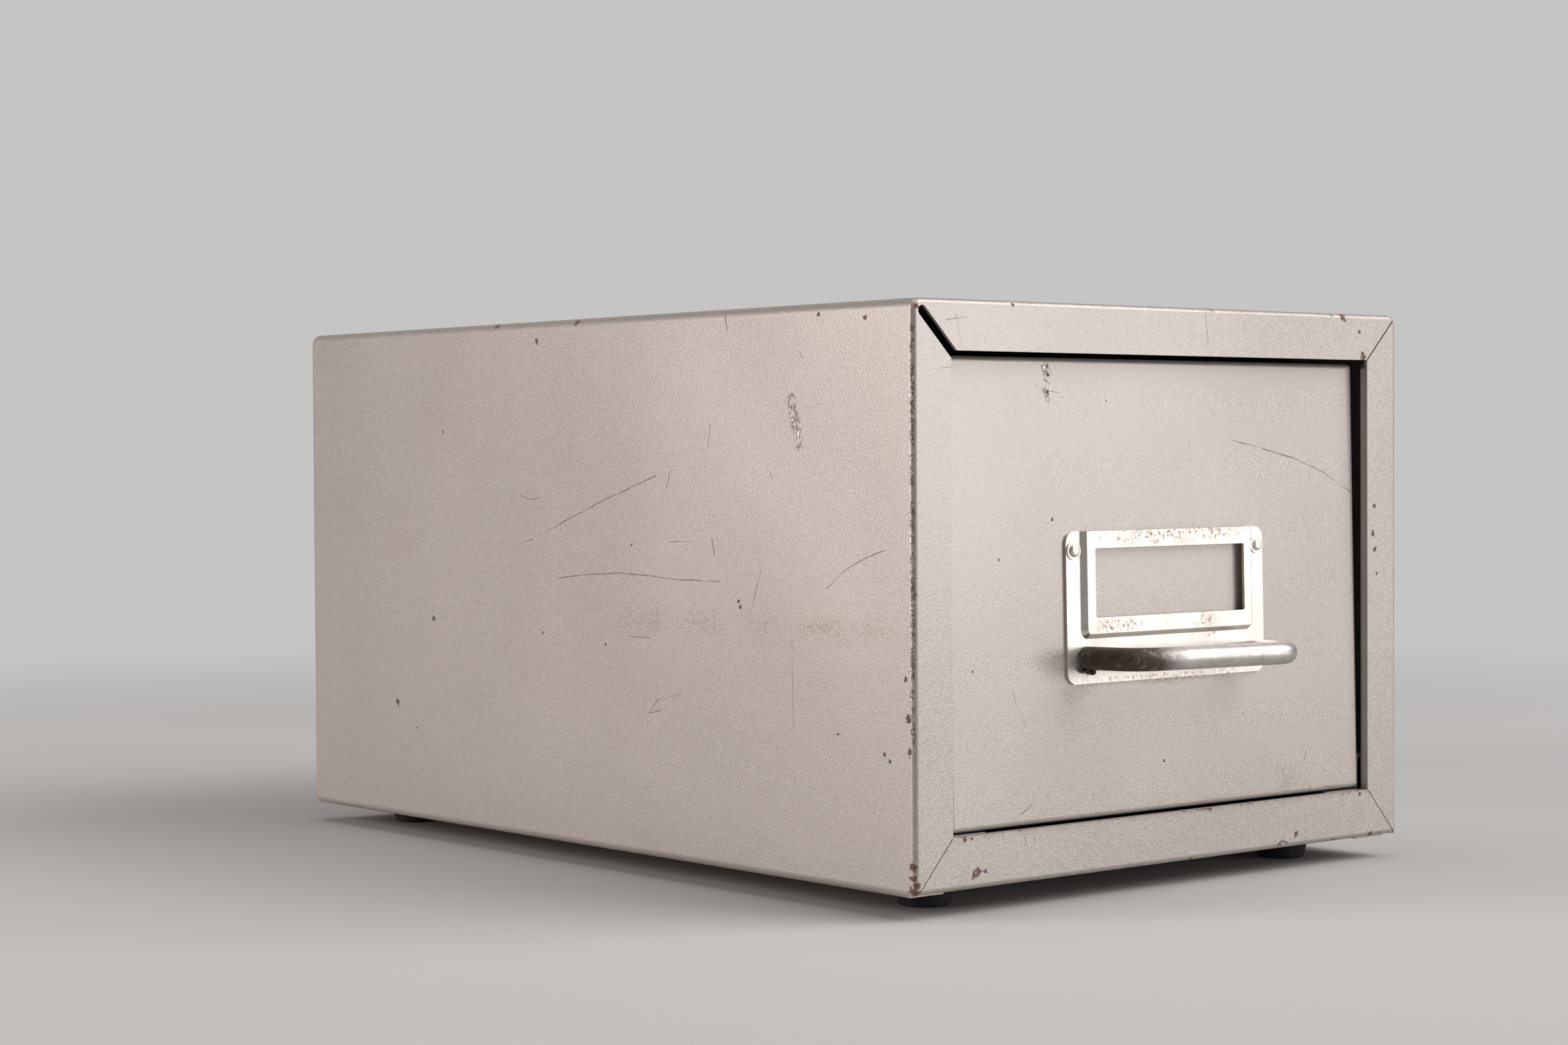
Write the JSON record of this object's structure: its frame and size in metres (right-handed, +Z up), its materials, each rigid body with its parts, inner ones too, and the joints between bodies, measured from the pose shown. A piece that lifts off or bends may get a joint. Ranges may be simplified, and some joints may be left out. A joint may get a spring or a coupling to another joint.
{
  "type": "index card drawer",
  "caption": "Small folded-steel card cabinet on rubber feet, with a sliding drawer, pull plate with label frame, fixed rod handle and a lockable card follower.",
  "frame": {"origin": "bottom centre of the whole object, at the undersides of the feet, midway from the handle's front to the case's back", "axes": "+Z up, drawer front towards -Y, +X to the right as seen from in front"},
  "size_m": [0.184, 0.3012, 0.1528],
  "materials": {
    "grey_paint": "satin, fine texture, chipped",
    "nickel_plate": "worn nickel, rust specks",
    "worn_steel_rod": "satin, tarnished",
    "zinc_steel": "dull zinc",
    "black_rubber": "matte"
  },
  "bodies": {
    "case": {"case_wrapper": "grey_paint", "case_bottom": "grey_paint", "case_back": "grey_paint", "left_runner": "grey_paint", "right_runner": "grey_paint", "drawer_stop": "grey_paint", "back_bumper_left": "black_rubber", "back_bumper_right": "black_rubber", "foot_front_left": "black_rubber", "foot_front_right": "black_rubber", "foot_rear_left": "black_rubber", "foot_rear_right": "black_rubber", "foot_screws": "zinc_steel", "foot_washers": "zinc_steel", "foot_nuts": "zinc_steel"},
    "drawer": {"drawer_tray": "grey_paint", "drawer_back": "grey_paint", "drawer_front": "grey_paint", "drawer_front_liner": "grey_paint", "label_holder": "nickel_plate", "plate_rivets": "nickel_plate", "pull_handle": "worn_steel_rod", "handle_washers": "zinc_steel", "follower_rail": "zinc_steel", "rail_rivets": "zinc_steel"},
    "follower": {"follower_plate": "grey_paint", "follower_shoe": "zinc_steel", "follower_rivets": "zinc_steel", "lever_pin": "zinc_steel", "lever_spring": "zinc_steel"},
    "lever": {"lock_lever": "zinc_steel"}
  },
  "joints": [
    {"name": "drawer_slide", "type": "slide", "parent": "case", "child": "drawer", "axis": [0, -1, 0], "range_m": [0, 0.24]},
    {"name": "follower_slide", "type": "slide", "parent": "drawer", "child": "follower", "axis": [0, -1, 0], "range_m": [-0.008, 0.18]},
    {"name": "lever_pivot", "type": "hinge", "parent": "follower", "child": "lever", "pos_m": [0, 0.10958, 0.0371], "axis": [1, 0, 0], "range_deg": [0, 18], "stiffness_Nm_per_rad": 0.03, "springref_deg": -20.05, "deforming": ["lever_spring"]}
  ]
}
